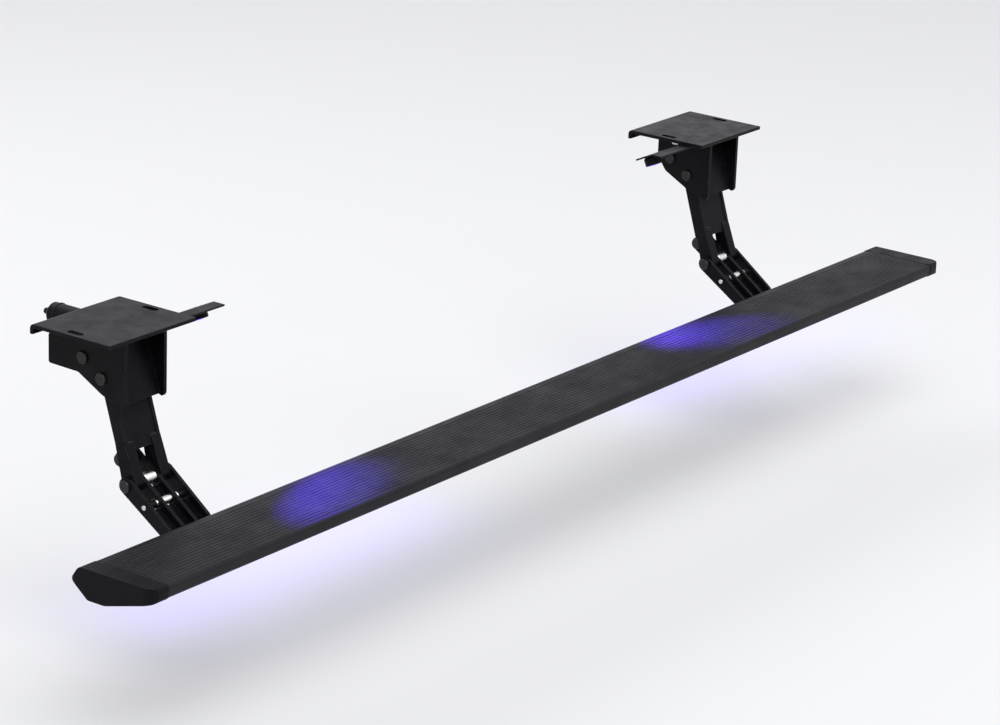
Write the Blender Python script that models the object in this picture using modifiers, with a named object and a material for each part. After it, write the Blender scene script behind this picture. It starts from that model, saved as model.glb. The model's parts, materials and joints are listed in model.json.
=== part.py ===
"""Power running board for the driver's side of a pickup, shown deployed.

X runs to the vehicle's rear, -Y points outboard and Z is up. The origin is the centre of the front
mounting bracket's top face. Each linkage is a parallelogram, so the board stays level as it swings
from below the rocker, where it is stepped on, to its stowed place under the housing.
"""
import math

import bmesh
import bpy
from mathutils import Matrix, Vector

# Driving dimensions in metres and degrees
GAP = 0.0003
ROUND_STEPS = 16

# Linkage geometry, seen along X
ARM_LENGTH = 0.165
ARM_LEAN = 17.4
PIVOT_SPACING = 0.045
PIVOT_TILT = 34.0
OUTER_PIVOT_Y = -0.0187
OUTER_PIVOT_DROP = 0.076
PIN_RADIUS = 0.006
PIN_HEAD_RADIUS = 0.010
PIN_HEAD_LENGTH = 0.004
PIN_TAIL = 0.004
EDGE = 0.001
BUSH_WALL = 0.0015

# Outer arm, a cast channel with a fork at its foot
OUTER_ARM_WIDTH = 0.078
OUTER_ARM_DEPTH = 0.020
OUTER_ARM_WEB = 0.006
OUTER_ARM_RIM = 0.006
RIM_INSET = 0.0005
OUTER_HUB_RADIUS = 0.015
FORK_EYE_RADIUS = 0.0135
FORK_SLOT_WIDTH = 0.038
FORK_SLOT_LENGTH = 0.048
FORK_LEG_RISE = 0.058
FACE_POCKET_DEPTH = 0.0018

# Drive arm, a slim bar behind the outer arm
DRIVE_BAR_DEPTH = 0.012
DRIVE_BAR_WIDTH = 0.023
BAR_INSET = 0.0003
DRIVE_HUB_RADIUS = 0.014
DRIVE_HUB_WIDTH = 0.076
DRIVE_EYE_RADIUS = 0.0115

# Housing and mounting bracket
CHEEK_THICKNESS = 0.006
CHEEK_CLEARANCE = 0.001
CHEEK_MARGIN = 0.020
HOUSING_ROOF = 0.006
ROOF_OVERHANG = 0.001
HOUSING_OUTBOARD_REACH = 0.047
HOUSING_ROOF_END = 0.070
HOUSING_DRIVE_REACH = 0.034
HOUSING_PLAIN_REACH = 0.028
STOP_WALL = 0.005
STOP_WALL_DROP = 0.045
BUMPER_LENGTH = 0.012
BUMPER_RADIUS = 0.010
BUMPER_DROP = 0.034
BUMPER_EDGE = 0.002
FLANGE_WIDTH = 0.024
FLANGE_HALF_DEPTH = 0.028
FLANGE_TAPER = 0.003
BRACKET_THICKNESS = 0.006
BRACKET_LENGTH = 0.190
BRACKET_DEPTH = 0.160
BRACKET_LIP = 0.016
BRACKET_SLOT_RADIUS = 0.0055
BRACKET_SLOT_LENGTH = 0.030
BOLT_RADIUS = 0.004
BOLT_HEAD_RADIUS = 0.0075
BOLT_HEAD_HEIGHT = 0.0055
BOLT_BITE = 0.0045
BOLT_END = 0.003

# Foot casting that carries the board
EAR_THICKNESS = 0.0057
EAR_CLEARANCE = 0.0023
EAR_BAND = 0.020
EAR_INSET = 0.0005
EAR_RUN = 0.0107
TONGUE_THICKNESS = 0.006
TONGUE_CLEARANCE = 0.0005
SADDLE_WALL = 0.010
PAD_REACH = 0.002
EAR_EYE_RADIUS = 0.013
TONGUE_EYE_RADIUS = 0.0115
TIE_ALONG = 0.036
TIE_DROP = 0.0255
TIE_RADIUS = 0.0075
TIE_SPIGOT_RADIUS = 0.0045
TIE_BRIGHT_LENGTH = 0.048
TIE_BOSS_WALL = 0.0025
SLEEVE_RADIUS = 0.0115
FOOT_WEB = 0.0048
FOOT_WEB_DROP = 0.0022
FOOT_WEB_GAP = 0.0015
SADDLE_SHOULDER = 0.6
SADDLE_INNER_EASE = 0.0035
EAR_END_RISE = 0.0044
TIE_END_BREAK = 0.0008

# Board extrusion
BOARD_LENGTH = 2.19
FRONT_OVERHANG = 0.26
REAR_OVERHANG = 0.38
BOARD_WIDTH = 0.158
BOARD_DEPTH = 0.046
BOARD_REACH = 0.089
BOARD_SET_DOWN = 0.038
TIP_DROP = 0.021
SHOULDER_RUN = 0.015
NOSE_DEPTH = 0.021
NOSE_RAKE = 0.003
KEEL_INNER = 0.032
KEEL_OUTER = 0.064
BOARD_WALL = 0.003
WEB_POSITIONS = (0.100,)
RIB_COUNT = 15
RIB_HEIGHT = 0.0009
RIB_MARGIN = 0.014
SLOT_MOUTH = 0.0095
SLOT_WIDTH = 0.019
SLOT_LIP = 0.003
SLOT_HEIGHT = 0.0075
CLAMP_SPACING = 0.060
CLAMP_NUT_HEIGHT = 0.006

# Moulded end caps
CAP_LENGTH = 0.034
CAP_CORNER = 0.022
CAP_ROUNDING = 0.004
CAP_SPIGOT = 0.016
CAP_FIT = 0.0004

# Gear drive of the front linkage
GEAR_MODULE = 0.0015
PINION_TEETH = 12
SECTOR_TEETH = 36
GEAR_WIDTH = 0.0084
GEAR_RING = 0.0035
TOOTH_FILL = 0.80
TOOTH_ADDENDUM = 0.9
TOOTH_DEDENDUM = 1.15
FLANK_ANGLE = 20.0
GEAR_INNER_X = 0.0243
SECTOR_MARGIN = 16.0
SWING = 102.0
SHAFT_RADIUS = 0.005
GEARBOX_RADIUS = 0.026
GEARBOX_DEPTH = 0.016
COVER_THICKNESS = 0.004
COVER_RIM = 0.002
GEARBOX_SCREW_CIRCLE = 0.021
GEARBOX_SCREW_RADIUS = 0.0025
GEARBOX_SCREW_HEAD = 0.0042
GEARBOX_SCREW_BITE = 0.004
WORM_OFFSET = 0.012
MOTOR_RADIUS = 0.018
MOTOR_LENGTH = 0.085
MOTOR_START = 0.036
MOTOR_EDGE = 0.004
GLAND_RADIUS = 0.007
GLAND_LENGTH = 0.014
GLAND_COLLAR = 0.005
GLAND_NECK_RADIUS = 0.0056
GLAND_TIP_RADIUS = 0.0042

# Lamps
LAMP_ALONG = 0.165
LAMP_TILT = 25.0
LAMP_RADIUS = 0.015
LAMP_HEIGHT = 0.016
LAMP_LENS_RADIUS = 0.011
LAMP_LENS_DEPTH = 0.004
LAMP_SHEET = 0.003
LAMP_SHEET_START = 0.072
LAMP_SHEET_END = 0.188
LAMP_SHEET_FLAT = 0.022
LAMP_SHEET_SLOPE = 0.036
LAMP_SHEET_Y = -0.056
LAMP_NOTCH_MARGIN = 0.002
LAMP_DOME = 0.0015
LAMP_BEND = 0.003
SHEET_EDGE = 0.0008
LAMP_BACK_BREAK = 0.003

# Planes in which outlines are drawn
SIDE_PLANE = Matrix(((0, 0, 1, 0), (1, 0, 0, 0), (0, 1, 0, 0), (0, 0, 0, 1)))
PLAN_PLANE = Matrix.Identity(4)

# Rotations that lay a turned piece along an axis
ALONG_X = (0, math.pi / 2, 0)
AGAINST_X = (0, -math.pi / 2, 0)
ALONG_Y = (-math.pi / 2, 0, 0)
ALONG_Z = (0, 0, 0)


def polar(angle):
    """Unit vector at an angle in degrees."""
    return Vector((math.cos(math.radians(angle)), math.sin(math.radians(angle))))


def arm_direction(lean):
    """Unit vector down an arm that leans outboard from the vertical."""
    return Vector((-math.sin(math.radians(lean)), -math.cos(math.radians(lean))))


DOWN_ARM = arm_direction(ARM_LEAN)
OUT_OF_ARM = Vector((DOWN_ARM.y, -DOWN_ARM.x))
PIVOT_STEP = PIVOT_SPACING * polar(PIVOT_TILT)
UPPER_OUTER = Vector((OUTER_PIVOT_Y, -OUTER_PIVOT_DROP))
UPPER_INNER = UPPER_OUTER + PIVOT_STEP
LOWER_OUTER = UPPER_OUTER + ARM_LENGTH * DOWN_ARM
LOWER_INNER = LOWER_OUTER + PIVOT_STEP
PINION_AXIS = UPPER_INNER + Vector((GEAR_MODULE * (PINION_TEETH + SECTOR_TEETH) / 2, 0))
TIE_AXIS = LOWER_OUTER + Vector((-TIE_ALONG, -TIE_DROP))

LINKAGE_SPACING = BOARD_LENGTH - FRONT_OVERHANG - REAR_OVERHANG
BOARD_INNER_Y = LOWER_OUTER.x - BOARD_REACH
BOARD_TOP = LOWER_OUTER.y - BOARD_SET_DOWN
EAR_END = Vector((BOARD_INNER_Y + EAR_RUN, BOARD_TOP - TIP_DROP + EAR_END_RISE))
ALONG_EAR = (EAR_END - LOWER_OUTER).normalized()
UNDER_EAR = Vector((-ALONG_EAR.y, ALONG_EAR.x))
CHEEK_INNER_X = OUTER_ARM_WIDTH / 2 + CHEEK_CLEARANCE
CHEEK_OUTER_X = CHEEK_INNER_X + CHEEK_THICKNESS
FLANGE_BOLT_X = CHEEK_OUTER_X + FLANGE_WIDTH / 2
EAR_INNER_X = OUTER_ARM_WIDTH / 2 + EAR_CLEARANCE
EAR_OUTER_X = EAR_INNER_X + EAR_THICKNESS
TONGUE_INNER_X = DRIVE_BAR_WIDTH / 2 + TONGUE_CLEARANCE
TONGUE_OUTER_X = TONGUE_INNER_X + TONGUE_THICKNESS
HOLE_RADIUS = PIN_RADIUS + GAP
BUSH_RADIUS = HOLE_RADIUS + BUSH_WALL
BUSH_SEAT = BUSH_RADIUS + GAP
HOUSING_TOP = -BRACKET_THICKNESS - GAP
BOARD_FRONT = -FRONT_OVERHANG
BOARD_REAR = BOARD_FRONT + BOARD_LENGTH
KEEL_BOTTOM = BOARD_TOP - BOARD_DEPTH


def clear_scene():
    """Start from an empty file."""
    for item in list(bpy.data.objects):
        bpy.data.objects.remove(item, do_unlink=True)


def new_collection(name):
    collection = bpy.data.collections.new(name)
    bpy.context.scene.collection.children.link(collection)
    return collection


def make_material(name, colour, roughness, metallic):
    material = bpy.data.materials.new(name)
    material.use_nodes = True
    shader = material.node_tree.nodes["Principled BSDF"]
    shader.inputs["Base Color"].default_value = (*colour, 1.0)
    shader.inputs["Roughness"].default_value = roughness
    shader.inputs["Metallic"].default_value = metallic
    return material


clear_scene()
PARTS = new_collection("power_running_board")
CUTTERS = new_collection("cutters")
BLACK_PAINT = make_material("black_powder_coat", (0.012, 0.012, 0.014), 0.35, 0.0)
DECK = make_material("dark_anodised_board", (0.045, 0.045, 0.047), 0.55, 0.6)
CAP_PLASTIC = make_material("black_moulded_plastic", (0.015, 0.015, 0.016), 0.45, 0.0)
STEEL = make_material("bright_steel", (0.62, 0.62, 0.60), 0.25, 1.0)
DARK_STEEL = make_material("black_oxide_steel", (0.030, 0.030, 0.032), 0.35, 0.7)
BUSH_METAL = make_material("bearing_bronze", (0.45, 0.30, 0.14), 0.35, 1.0)
RUBBER = make_material("black_rubber", (0.02, 0.02, 0.02), 0.85, 0.0)
LENS = make_material("violet_lamp_lens", (0.25, 0.18, 0.95), 0.15, 0.0)
CAST_ALLOY = make_material("cast_alloy", (0.35, 0.35, 0.36), 0.5, 1.0)


def arc(centre, radius, start, end, steps):
    """Points along an arc, both ends included, angles in degrees."""
    angles = [start + (end - start) * i / steps for i in range(steps + 1)]
    return [Vector(centre) + radius * polar(angle) for angle in angles]


def corner_arc(before, corner, after, radius, steps):
    """Points that round off one corner of an outline."""
    to_before = (before - corner).normalized()
    to_after = (after - corner).normalized()
    half = to_before.angle(to_after) / 2
    reach = radius / math.tan(half)
    limit = 0.49 * min((before - corner).length, (after - corner).length)
    if reach > limit:
        reach = limit
        radius = reach * math.tan(half)
    centre = corner + (to_before + to_after).normalized() * (radius / math.sin(half))
    first = corner + to_before * reach - centre
    last = corner + to_after * reach - centre
    turn = first.angle_signed(last)
    return [centre + Matrix.Rotation(-turn * i / steps, 2) @ first for i in range(steps + 1)]


def rounded(corners, radii, steps=3):
    """One list of points for each corner of a closed outline."""
    count = len(corners)
    pieces = []
    for index, corner in enumerate(corners):
        before = corners[index - 1]
        after = corners[(index + 1) % count]
        pieces.append(corner_arc(before, corner, after, radii[index], steps))
    return pieces


def smooth_outline(corners, radius, steps=3):
    """A closed outline whose corners all have one radius."""
    corners = [Vector(corner) for corner in corners]
    return [point for piece in rounded(corners, [radius] * len(corners), steps) for point in piece]


def circle(centre, radius, steps=ROUND_STEPS):
    """A closed round outline."""
    return arc(centre, radius, 0, 360 - 360 / steps, steps - 1)


def link_outline(first, first_radius, second, second_radius, steps=8):
    """The outline of a link: two round eyes joined by tangent sides."""
    along = second - first
    base = math.degrees(math.atan2(along.y, along.x))
    open_angle = math.degrees(math.acos((first_radius - second_radius) / along.length))
    outline = arc(first, first_radius, base + open_angle, base + 360 - open_angle, steps)
    outline += arc(second, second_radius, base - open_angle, base + open_angle, steps)
    return outline


def grown(corners, distance):
    """A convex outline with every side moved outwards, or inwards if negative."""
    middle = sum(corners, Vector((0, 0))) / len(corners)
    sides = []
    for index, start in enumerate(corners):
        end = corners[(index + 1) % len(corners)]
        along = (end - start).normalized()
        normal = Vector((along.y, -along.x))
        if normal.dot(start - middle) < 0:
            normal = -normal
        sides.append((start + normal * distance, along))
    result = []
    for index, (point, along) in enumerate(sides):
        previous_point, previous_along = sides[index - 1]
        cross = previous_along.x * along.y - previous_along.y * along.x
        step = point - previous_point
        share = (step.x * along.y - step.y * along.x) / cross
        result.append(previous_point + previous_along * share)
    return result


def clipped(corners, normal, limit):
    """The part of a convex outline where the dot product with normal stays under limit."""
    normal = Vector(normal)
    result = []
    for index, start in enumerate(corners):
        end = corners[(index + 1) % len(corners)]
        start_value = start.dot(normal) - limit
        end_value = end.dot(normal) - limit
        if start_value <= 0:
            result.append(start)
        if start_value * end_value < 0:
            result.append(start.lerp(end, start_value / (start_value - end_value)))
    return result


def object_from_mesh(name, mesh, matrix=None):
    """A new object, kept among the guides until it is finished as a part."""
    item = bpy.data.objects.new(name, mesh)
    CUTTERS.objects.link(item)
    if matrix is not None:
        item.matrix_world = matrix
    return item


def extruded(name, outlines, low, high, plane=SIDE_PLANE):
    """A flat outline, with any further outlines as holes, extruded from low to high."""
    curve = bpy.data.curves.new(name, "CURVE")
    curve.dimensions = "2D"
    curve.fill_mode = "BOTH"
    curve.extrude = (high - low) / 2
    for outline in outlines:
        spline = curve.splines.new("POLY")
        spline.points.add(len(outline) - 1)
        for point, place in zip(spline.points, outline):
            point.co = (place[0], place[1], 0, 1)
        spline.use_cyclic_u = True
    guide = bpy.data.objects.new(name + "_outline", curve)
    CUTTERS.objects.link(guide)
    guide.matrix_world = plane @ Matrix.Translation((0, 0, (low + high) / 2))
    bpy.context.view_layer.update()
    depsgraph = bpy.context.evaluated_depsgraph_get()
    mesh = bpy.data.meshes.new_from_object(guide.evaluated_get(depsgraph))
    mesh.name = name
    shape = bmesh.new()
    shape.from_mesh(mesh)
    bmesh.ops.remove_doubles(shape, verts=shape.verts, dist=0.000001)
    bmesh.ops.recalc_face_normals(shape, faces=shape.faces)
    shape.to_mesh(mesh)
    shape.free()
    item = object_from_mesh(name, mesh, guide.matrix_world.copy())
    bpy.data.objects.remove(guide, do_unlink=True)
    return item


def turned(name, profile, place, rotation=ALONG_X, hollow=False, steps=ROUND_STEPS):
    """A turned piece. The profile lists (distance along the axis, radius) from the far end back."""
    mesh = bpy.data.meshes.new(name)
    verts = [(radius, 0, along) for along, radius in profile]
    edges = [(i, i + 1) for i in range(len(verts) - 1)]
    if hollow:
        edges.append((len(verts) - 1, 0))
    mesh.from_pydata(verts, edges, [])
    item = object_from_mesh(name, mesh)
    item.location = place
    item.rotation_euler = rotation
    screw = item.modifiers.new("turn", "SCREW")
    screw.axis = "Z"
    screw.steps = steps
    screw.render_steps = steps
    screw.use_merge_vertices = True
    screw.merge_threshold = 0.00001
    screw.use_smooth_shade = True
    return item


def rod(name, radius, low, high, place, rotation=ALONG_X, steps=ROUND_STEPS):
    """A plain cylinder along an axis, from low to high beyond its place."""
    profile = [(high, 0), (high, radius), (low, radius), (low, 0)]
    return turned(name, profile, place, rotation, steps=steps)


def block(name, low, high):
    """A box between two corners."""
    shape = bmesh.new()
    size = Vector(high) - Vector(low)
    centre = (Vector(high) + Vector(low)) / 2
    bmesh.ops.create_cube(shape, size=1.0, matrix=Matrix.Translation(centre) @ Matrix.Diagonal((*size, 1)))
    mesh = bpy.data.meshes.new(name)
    shape.to_mesh(mesh)
    shape.free()
    return object_from_mesh(name, mesh)


def combine(item, tool, operation):
    """Add a live Boolean whose second shape stays as a hidden guide."""
    tool.hide_render = True
    tool.display_type = "WIRE"
    modifier = item.modifiers.new(operation.lower(), "BOOLEAN")
    modifier.object = tool
    modifier.operation = operation
    modifier.solver = "EXACT"


def join(item, *tools):
    for tool in tools:
        combine(item, tool, "UNION")


def cut(item, *tools):
    for tool in tools:
        combine(item, tool, "DIFFERENCE")


def finish(item, name, material):
    """Give a finished piece its name, its material and its place among the parts."""
    for collection in list(item.users_collection):
        collection.objects.unlink(item)
    PARTS.objects.link(item)
    item.name = name
    item.data.materials.clear()
    item.data.materials.append(material)
    return item


def side_place(point, x=0.0):
    """A point of the side view, at a distance along the vehicle."""
    return Vector((x, point[0], point[1]))


def both_sides(inner, outer):
    """The X ranges of a pair of like walls."""
    return ((inner, outer), (-outer, -inner))


def board_point(out, down):
    """A point of the board's section, from its inner edge outboard and from its top down."""
    return Vector((BOARD_INNER_Y - out, BOARD_TOP - down))


def board_corners():
    """The corners of the board's section: nose, keel, inner tip and shoulder."""
    return [
        board_point(BOARD_WIDTH, 0),
        board_point(BOARD_WIDTH - NOSE_RAKE, NOSE_DEPTH),
        board_point(KEEL_OUTER, BOARD_DEPTH),
        board_point(KEEL_INNER, BOARD_DEPTH),
        board_point(0, TIP_DROP),
        board_point(SHOULDER_RUN, 0),
    ]


BOARD_RADII = (0.006, 0.007, 0.030, 0.008, 0.004, 0.010)
SLOT_MIDDLE = (KEEL_INNER + KEEL_OUTER) / 2
SLOT_DEPTH = SLOT_LIP + SLOT_HEIGHT


def envelope(distance):
    """The board's outer section moved outwards by a distance, as one outline."""
    radii = [radius + distance for radius in BOARD_RADII]
    return [point for piece in rounded(grown(board_corners(), distance), radii) for point in piece]


def clamp_slot():
    """The T-slot in the keel, walked from its outboard lip to its inboard lip."""
    mouth = SLOT_MOUTH / 2
    wide = SLOT_WIDTH / 2
    steps = ((mouth, 0), (mouth, SLOT_LIP), (wide, SLOT_LIP), (wide, SLOT_DEPTH))
    outboard = [board_point(SLOT_MIDDLE + side, BOARD_DEPTH - up) for side, up in steps]
    inboard = [board_point(SLOT_MIDDLE - side, BOARD_DEPTH - up) for side, up in reversed(steps)]
    return outboard + inboard


def grip_ribs():
    """Points of the raised grip ribs, walked outboard along the deck."""
    first = SHOULDER_RUN + RIB_MARGIN
    pitch = (BOARD_WIDTH - RIB_MARGIN - first) / (RIB_COUNT - 0.5)
    points = []
    for index in range(RIB_COUNT):
        start = first + index * pitch
        points.append(board_point(start, 0))
        points.append(board_point(start + pitch * 0.1, -RIB_HEIGHT))
        points.append(board_point(start + pitch * 0.4, -RIB_HEIGHT))
        points.append(board_point(start + pitch * 0.5, 0))
    return points


def chambers(wall):
    """The hollow chambers of the extrusion, each a small rounded outline."""
    inside = grown(board_corners(), -wall)
    half = wall / 2
    slot_inner = SLOT_MIDDLE - SLOT_WIDTH / 2 - BOARD_WALL / 2
    slot_outer = SLOT_MIDDLE + SLOT_WIDTH / 2 + BOARD_WALL / 2
    edges = (0, slot_inner, slot_outer) + WEB_POSITIONS + (BOARD_WIDTH,)
    result = []
    for low, high in zip(edges, edges[1:]):
        outline = clipped(inside, (1, 0), BOARD_INNER_Y - low - half)
        outline = clipped(outline, (-1, 0), high - BOARD_INNER_Y - half)
        if low == slot_inner:
            outline = clipped(outline, (0, -1), BOARD_DEPTH - SLOT_DEPTH - wall - BOARD_TOP)
        result.append(smooth_outline(outline, 0.0025, 2))
    return result


def make_board():
    nose, nose_foot, keel_out, keel_in, tip, shoulder = rounded(board_corners(), BOARD_RADII)
    outline = nose + nose_foot + keel_out + clamp_slot() + keel_in + tip + shoulder + grip_ribs()
    low = BOARD_FRONT + CAP_LENGTH + GAP
    high = BOARD_REAR - CAP_LENGTH - GAP
    board = extruded("board", [outline] + chambers(BOARD_WALL), low, high)
    return finish(board, "board_extrusion", DECK)


def make_cap(name, end_x, inward):
    """An end cap: the board's section with rounded plan corners, and spigots into two chambers."""
    joint_x = end_x + inward * CAP_LENGTH
    cap = extruded(name, [envelope(RIB_HEIGHT)], min(end_x, joint_x), max(end_x, joint_x))
    margin = CAP_CORNER
    outer_y = BOARD_INNER_Y - BOARD_WIDTH - RIB_HEIGHT
    inner_y = BOARD_INNER_Y + RIB_HEIGHT
    corners = [
        Vector((end_x, outer_y)),
        Vector((joint_x + inward * margin, outer_y)),
        Vector((joint_x + inward * margin, inner_y + margin)),
        Vector((end_x + inward * CAP_CORNER, inner_y + margin)),
        Vector((end_x, inner_y)),
    ]
    rounding = (CAP_CORNER, 0.001, 0.001, 0.001, CAP_CORNER)
    plan = [point for piece in rounded(corners, rounding, 6) for point in piece]
    low = KEEL_BOTTOM - margin
    plan_shape = extruded(name + "_plan", [plan], low, BOARD_TOP + margin, PLAN_PLANE)
    combine(cap, plan_shape, "INTERSECT")
    bevel = cap.modifiers.new("rounding", "BEVEL")
    bevel.width = CAP_ROUNDING
    bevel.segments = 2
    bevel.limit_method = "ANGLE"
    bevel.angle_limit = math.radians(50)
    spigots = chambers(BOARD_WALL + CAP_FIT)
    for index in (0, len(spigots) - 2):
        start = joint_x - inward * CAP_ROUNDING * 2
        tip = joint_x + inward * CAP_SPIGOT
        spigot = extruded(name + "_spigot", [spigots[index]], min(start, tip), max(start, tip))
        join(cap, spigot)
    return finish(cap, name, CAP_PLASTIC)


def make_outer_arm(prefix, x):
    """The cast outer arm: rimmed channel, hub at the top and a fork round the foot's tongues."""
    half = OUTER_ARM_WIDTH / 2
    depth = OUTER_ARM_DEPTH / 2
    shape = link_outline(UPPER_OUTER, depth, LOWER_OUTER, depth)
    arm = rod("outer_hub", OUTER_HUB_RADIUS, x - half, x + half, side_place(UPPER_OUTER))
    for low, high in both_sides(half - OUTER_ARM_RIM, half - RIM_INSET):
        join(arm, extruded("outer_rim", [shape], x + low, x + high))
    leg_top = LOWER_OUTER - DOWN_ARM * FORK_LEG_RISE
    leg = link_outline(leg_top, depth, LOWER_OUTER, FORK_EYE_RADIUS)
    for low, high in both_sides(FORK_SLOT_WIDTH / 2, half):
        join(arm, extruded("fork_leg", [leg], x + low, x + high))
    face = depth - FACE_POCKET_DEPTH
    web_end = LOWER_OUTER - DOWN_ARM * FORK_SLOT_LENGTH
    web = [
        UPPER_OUTER + OUT_OF_ARM * face,
        web_end + OUT_OF_ARM * face,
        web_end + OUT_OF_ARM * (face - OUTER_ARM_WEB),
        UPPER_OUTER + OUT_OF_ARM * (face - OUTER_ARM_WEB),
    ]
    inside = half - OUTER_ARM_RIM / 2
    join(arm, extruded("outer_web", [web], x - inside, x + inside))
    join(arm, extruded("outer_bridge", [circle(web_end - DOWN_ARM * face, face)], x - inside, x + inside))
    reach = OUTER_ARM_WIDTH
    cut(arm, rod("hub_bore", BUSH_SEAT, x - reach, x + reach, side_place(UPPER_OUTER)))
    cut(arm, rod("fork_bore", BUSH_SEAT, x - reach, x + reach, side_place(LOWER_OUTER)))
    return finish(arm, prefix + "outer_arm", BLACK_PAINT)


def make_drive_arm(prefix, x):
    """The drive arm: a slim bar between a long hub and a narrow eye."""
    half = DRIVE_BAR_WIDTH / 2
    arm = rod("drive_hub", DRIVE_HUB_RADIUS, x - DRIVE_HUB_WIDTH / 2, x + DRIVE_HUB_WIDTH / 2,
              side_place(UPPER_INNER))
    bar = link_outline(UPPER_INNER, DRIVE_BAR_DEPTH / 2, LOWER_INNER, DRIVE_BAR_DEPTH / 2)
    eye = circle(LOWER_INNER, DRIVE_EYE_RADIUS)
    join(arm, extruded("drive_bar", [bar], x - half + BAR_INSET, x + half - BAR_INSET))
    join(arm, extruded("drive_eye", [eye], x - half, x + half))
    reach = DRIVE_HUB_WIDTH
    cut(arm, rod("hub_bore", BUSH_SEAT, x - reach, x + reach, side_place(UPPER_INNER)))
    cut(arm, rod("eye_bore", BUSH_SEAT, x - reach, x + reach, side_place(LOWER_INNER)))
    return finish(arm, prefix + "drive_arm", BLACK_PAINT)


def make_bush(name, place, low, high):
    """A plain bearing bush pressed into an arm."""
    profile = [(high, HOLE_RADIUS), (high, BUSH_RADIUS), (low, BUSH_RADIUS), (low, HOLE_RADIUS)]
    bush = turned(name, profile, side_place(place), hollow=True)
    return finish(bush, name, BUSH_METAL)


def make_pin(name, place, x, seat, rotation=AGAINST_X):
    """A headed pivot pin through a pair of walls whose outer faces lie seat from the middle."""
    head = seat + GAP
    top = head + PIN_HEAD_LENGTH
    tail = -head - PIN_TAIL
    profile = [
        (top, 0),
        (top, PIN_HEAD_RADIUS - EDGE),
        (top - EDGE, PIN_HEAD_RADIUS),
        (head, PIN_HEAD_RADIUS),
        (head, PIN_RADIUS),
        (tail + EDGE, PIN_RADIUS),
        (tail, PIN_RADIUS - EDGE),
        (tail, 0),
    ]
    return finish(turned(name, profile, side_place(place, x), rotation), name, DARK_STEEL)


def hexagon(name, radius, low, high, place):
    """A six-sided prism along Z."""
    return rod(name, radius, low, high, place, ALONG_Z, steps=6)


def make_housing(prefix, x, driven):
    """The linkage housing: two cheeks, a roof with bolting flanges and a wall for the stop."""
    roof_low = HOUSING_TOP - HOUSING_ROOF
    cheek_top = HOUSING_TOP - HOUSING_ROOF / 2
    outboard = UPPER_OUTER.x - HOUSING_OUTBOARD_REACH
    if driven:
        roof_end = HOUSING_ROOF_END
        reach = PINION_AXIS.x + HOUSING_DRIVE_REACH
        inner_edge = [
            Vector((roof_end, cheek_top)),
            Vector((roof_end, HOUSING_TOP - BRACKET_LIP)),
            Vector((reach, HOUSING_TOP - BRACKET_LIP - HOUSING_ROOF)),
            Vector((reach, PINION_AXIS.y - HOUSING_DRIVE_REACH * 0.7)),
        ]
    else:
        roof_end = UPPER_INNER.x + HOUSING_PLAIN_REACH
        inner_edge = [Vector((roof_end, cheek_top)), Vector((roof_end, UPPER_INNER.y))]
    stop_face = OUTER_ARM_DEPTH / 2 + BUMPER_LENGTH
    wall_end = UPPER_OUTER + DOWN_ARM * STOP_WALL_DROP
    stop_foot = wall_end + DOWN_ARM * STOP_WALL + OUT_OF_ARM * (stop_face + 1.5 * STOP_WALL)
    under_outer = UPPER_OUTER + Vector((0, -CHEEK_MARGIN - STOP_WALL))
    under_inner = UPPER_INNER + Vector((CHEEK_MARGIN / 2, -CHEEK_MARGIN - STOP_WALL))
    cheek = [Vector((outboard, cheek_top))] + inner_edge + [under_inner, under_outer, stop_foot]
    cheek.append(Vector((outboard, stop_foot.y + STOP_WALL)))
    radii = [0.0005, 0.0005] + [0.004] * (len(inner_edge) - 1) + [0.012, 0.015, 0.003, 0.010]
    outline = [point for piece in rounded(cheek, radii, 3) for point in piece]
    pin_holes = [circle(UPPER_OUTER, HOLE_RADIUS), circle(UPPER_INNER, HOLE_RADIUS)]
    drive_holes = []
    if driven:
        drive_holes = [circle(PINION_AXIS, SHAFT_RADIUS + GAP)]
        drive_holes += [circle(point, GEARBOX_SCREW_RADIUS + GAP) for point in screw_places()]
    across = CHEEK_OUTER_X + ROOF_OVERHANG
    wide = CHEEK_OUTER_X + FLANGE_WIDTH
    root = FLANGE_HALF_DEPTH + FLANGE_TAPER
    right = [(across, roof_end + ROOF_OVERHANG), (across, root), (wide, FLANGE_HALF_DEPTH),
             (wide, -FLANGE_HALF_DEPTH), (across, -root), (across, outboard - ROOF_OVERHANG)]
    left = [(-out, along) for out, along in reversed(right)]
    roof = smooth_outline([(x + out, along) for out, along in right + left], 0.004, 2)
    bolts = [circle((x + side * FLANGE_BOLT_X, 0), BOLT_RADIUS + GAP) for side in (-1, 1)]
    housing = extruded("roof", [roof] + bolts, roof_low, HOUSING_TOP, PLAN_PLANE)
    for (low, high), holes in zip(both_sides(CHEEK_INNER_X, CHEEK_OUTER_X), (drive_holes, [])):
        join(housing, extruded("cheek", [outline] + pin_holes + holes, x + low, x + high))
    rise = (UPPER_OUTER.y + OUT_OF_ARM.y * stop_face - cheek_top) / -DOWN_ARM.y
    wall = [
        UPPER_OUTER + DOWN_ARM * rise + OUT_OF_ARM * stop_face,
        wall_end + OUT_OF_ARM * stop_face,
        wall_end + OUT_OF_ARM * (stop_face + STOP_WALL),
        UPPER_OUTER + DOWN_ARM * rise + OUT_OF_ARM * (stop_face + STOP_WALL),
    ]
    inside = CHEEK_INNER_X + CHEEK_THICKNESS / 2
    join(housing, extruded("stop_wall", [wall], x - inside, x + inside))
    return finish(housing, prefix + "linkage_housing", BLACK_PAINT)


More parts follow.
